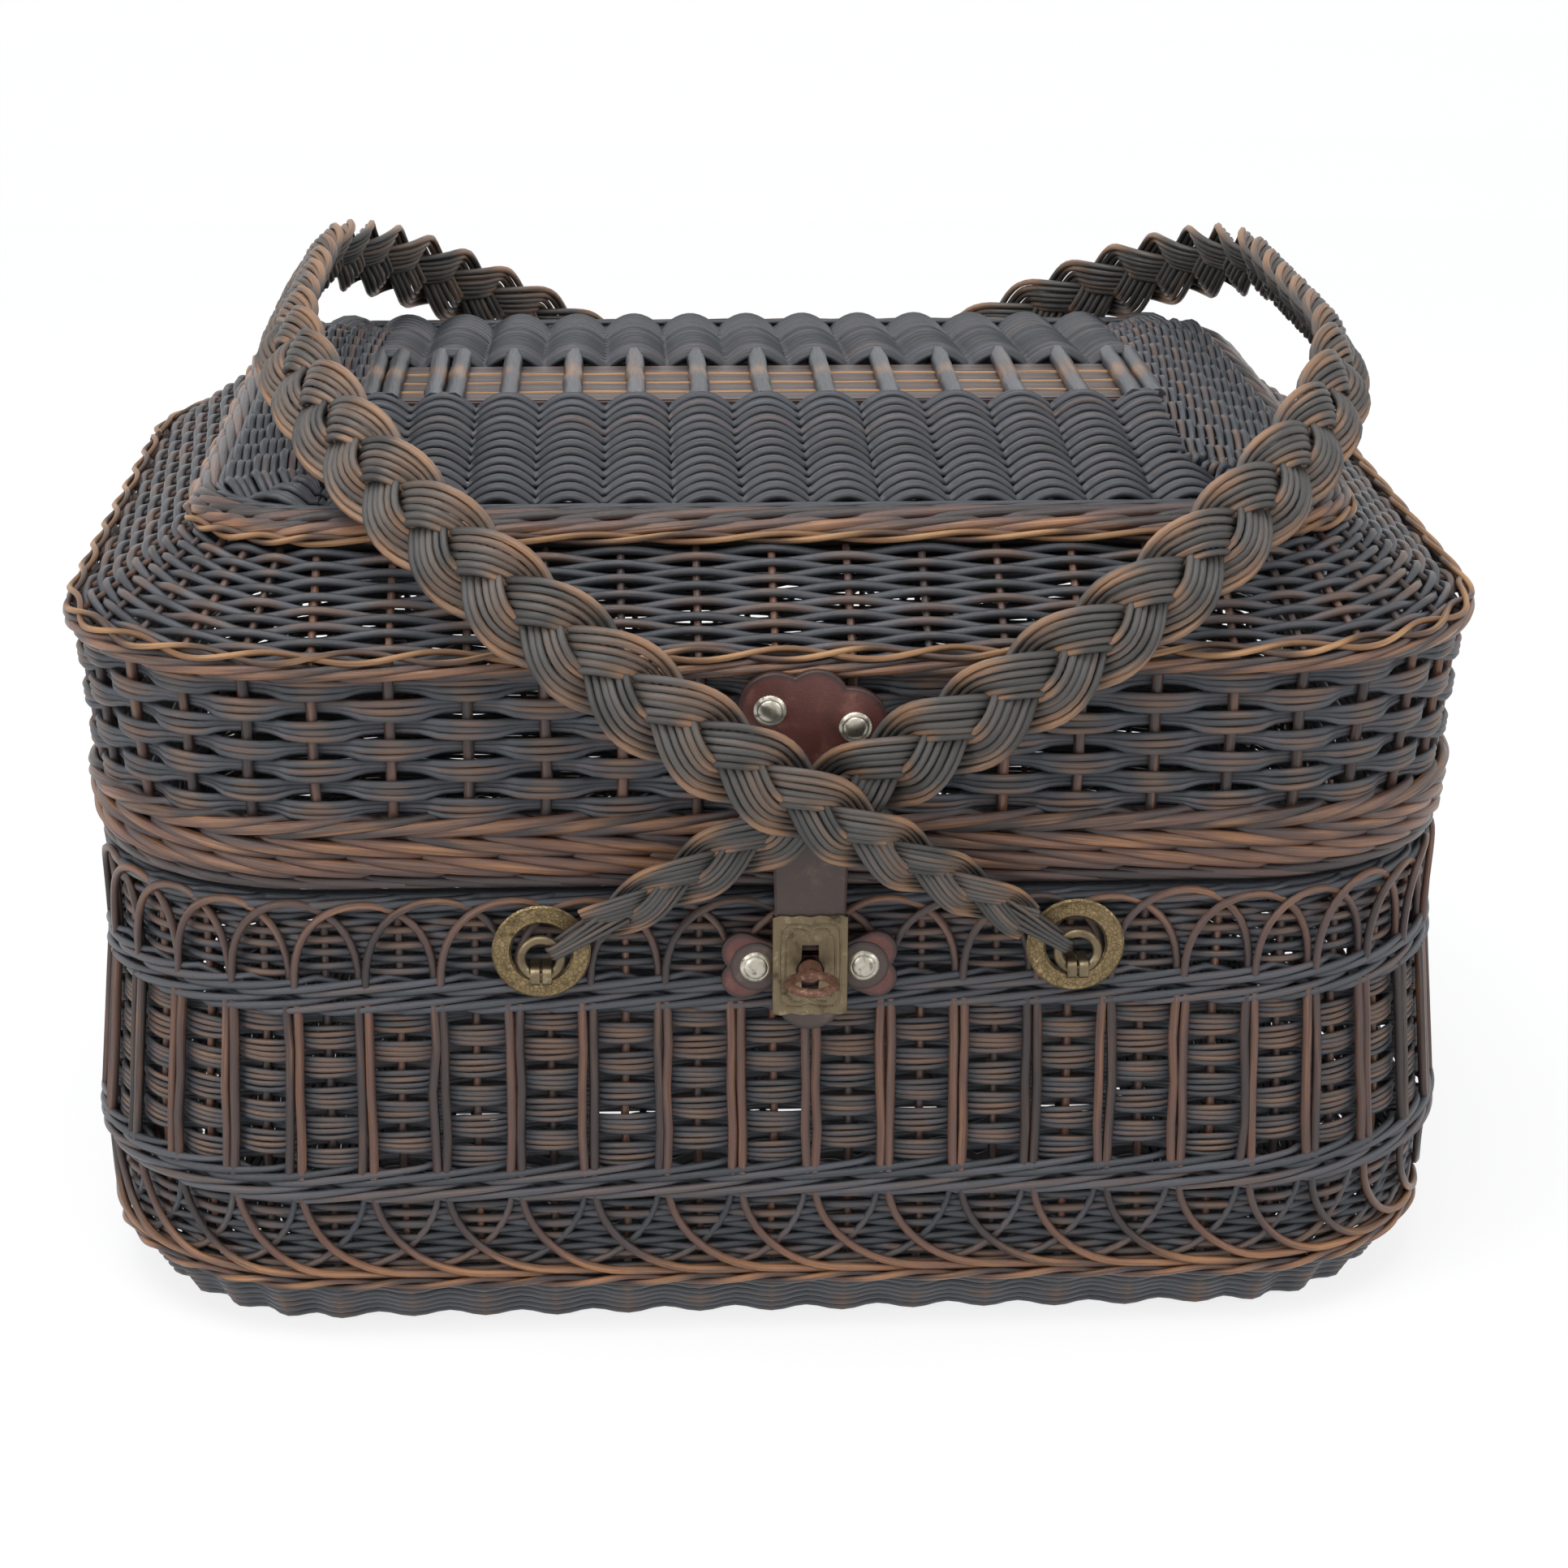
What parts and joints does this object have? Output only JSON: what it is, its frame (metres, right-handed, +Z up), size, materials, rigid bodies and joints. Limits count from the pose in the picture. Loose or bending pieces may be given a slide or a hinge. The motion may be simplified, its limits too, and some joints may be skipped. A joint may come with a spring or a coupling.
{
  "type": "wicker fishing creel",
  "caption": "Large rounded-rectangular wicker creel with a sloping hinged lid, two crossed plaited handles on brass rings, and a leather hasp locked by a turning eye.",
  "frame": {"origin": "centre of the outline seen from above, on the floor that the basket stands on", "axes": "+Z up, the locked front faces -Y, +X to the right when looking at the front"},
  "size_m": [0.4492, 0.4406, 0.3123],
  "materials": {
    "black_willow": "matte",
    "brown_willow": "satin",
    "tan_willow": "satin",
    "leather": "satin",
    "aged_brass": "aged",
    "pale_brass": "worn",
    "iron": "rusty"
  },
  "bodies": {
    "basket": {"foot_weave": "black_willow", "foot_rope": "brown_willow", "lower_wall": "black_willow", "lower_wale": "black_willow", "middle_wall": "black_willow", "upper_wale": "black_willow", "upper_wall": "black_willow", "rim_border": "black_willow", "fence_rods": "brown_willow", "base_weave": "black_willow", "base_slats": "brown_willow", "base_cross_sticks": "black_willow", "hinge_loops": "aged_brass", "washers": "aged_brass", "clips": "aged_brass", "lock_leather": "leather", "lock_rivet_caps": "pale_brass"},
    "lid": {"lid_border": "brown_willow", "lid_skirt": "black_willow", "shoulder_wale": "tan_willow", "lid_slope": "black_willow", "top_rope": "tan_willow", "top_border": "brown_willow", "top_weave": "black_willow", "top_slats": "brown_willow", "top_cross_sticks": "black_willow", "hinge_pin": "brown_willow", "hasp_strap": "leather", "hasp_cover": "aged_brass", "lid_tab": "leather", "tab_rivet_caps": "pale_brass"},
    "left_handle": {"left_rings": "aged_brass", "left_plait": "black_willow"},
    "right_handle": {"right_rings": "aged_brass", "right_plait": "black_willow"},
    "turn_eye": {"turn_eye": "iron"}
  },
  "joints": [
    {"name": "lid_hinge", "type": "hinge", "parent": "basket", "child": "lid", "pos_m": [0, 0.1825, 0.14995], "axis": [-1, 0, 0], "range_deg": [0, 90], "deforming": ["left_plait", "right_plait", "hasp_strap", "hasp_cover"]},
    {"name": "left_handle_swing", "type": "hinge", "parent": "basket", "child": "left_handle", "pos_m": [-0.074, 0, 0.132], "axis": [0, -1, 0], "range_deg": [0, 153]},
    {"name": "right_handle_swing", "type": "hinge", "parent": "basket", "child": "right_handle", "pos_m": [0.09, 0, 0.132], "axis": [0, 1, 0], "range_deg": [0, 150.5]},
    {"name": "turn_eye_turn", "type": "hinge", "parent": "basket", "child": "turn_eye", "pos_m": [0.008, -0.19, 0.127], "axis": [0, -1, 0], "range_deg": [0, 90]}
  ],
  "couplings": [
    {"joint": "left_handle_swing", "follows": "lid_hinge", "ratio": 1.6889},
    {"joint": "right_handle_swing", "follows": "lid_hinge", "ratio": 1.6611}
  ]
}
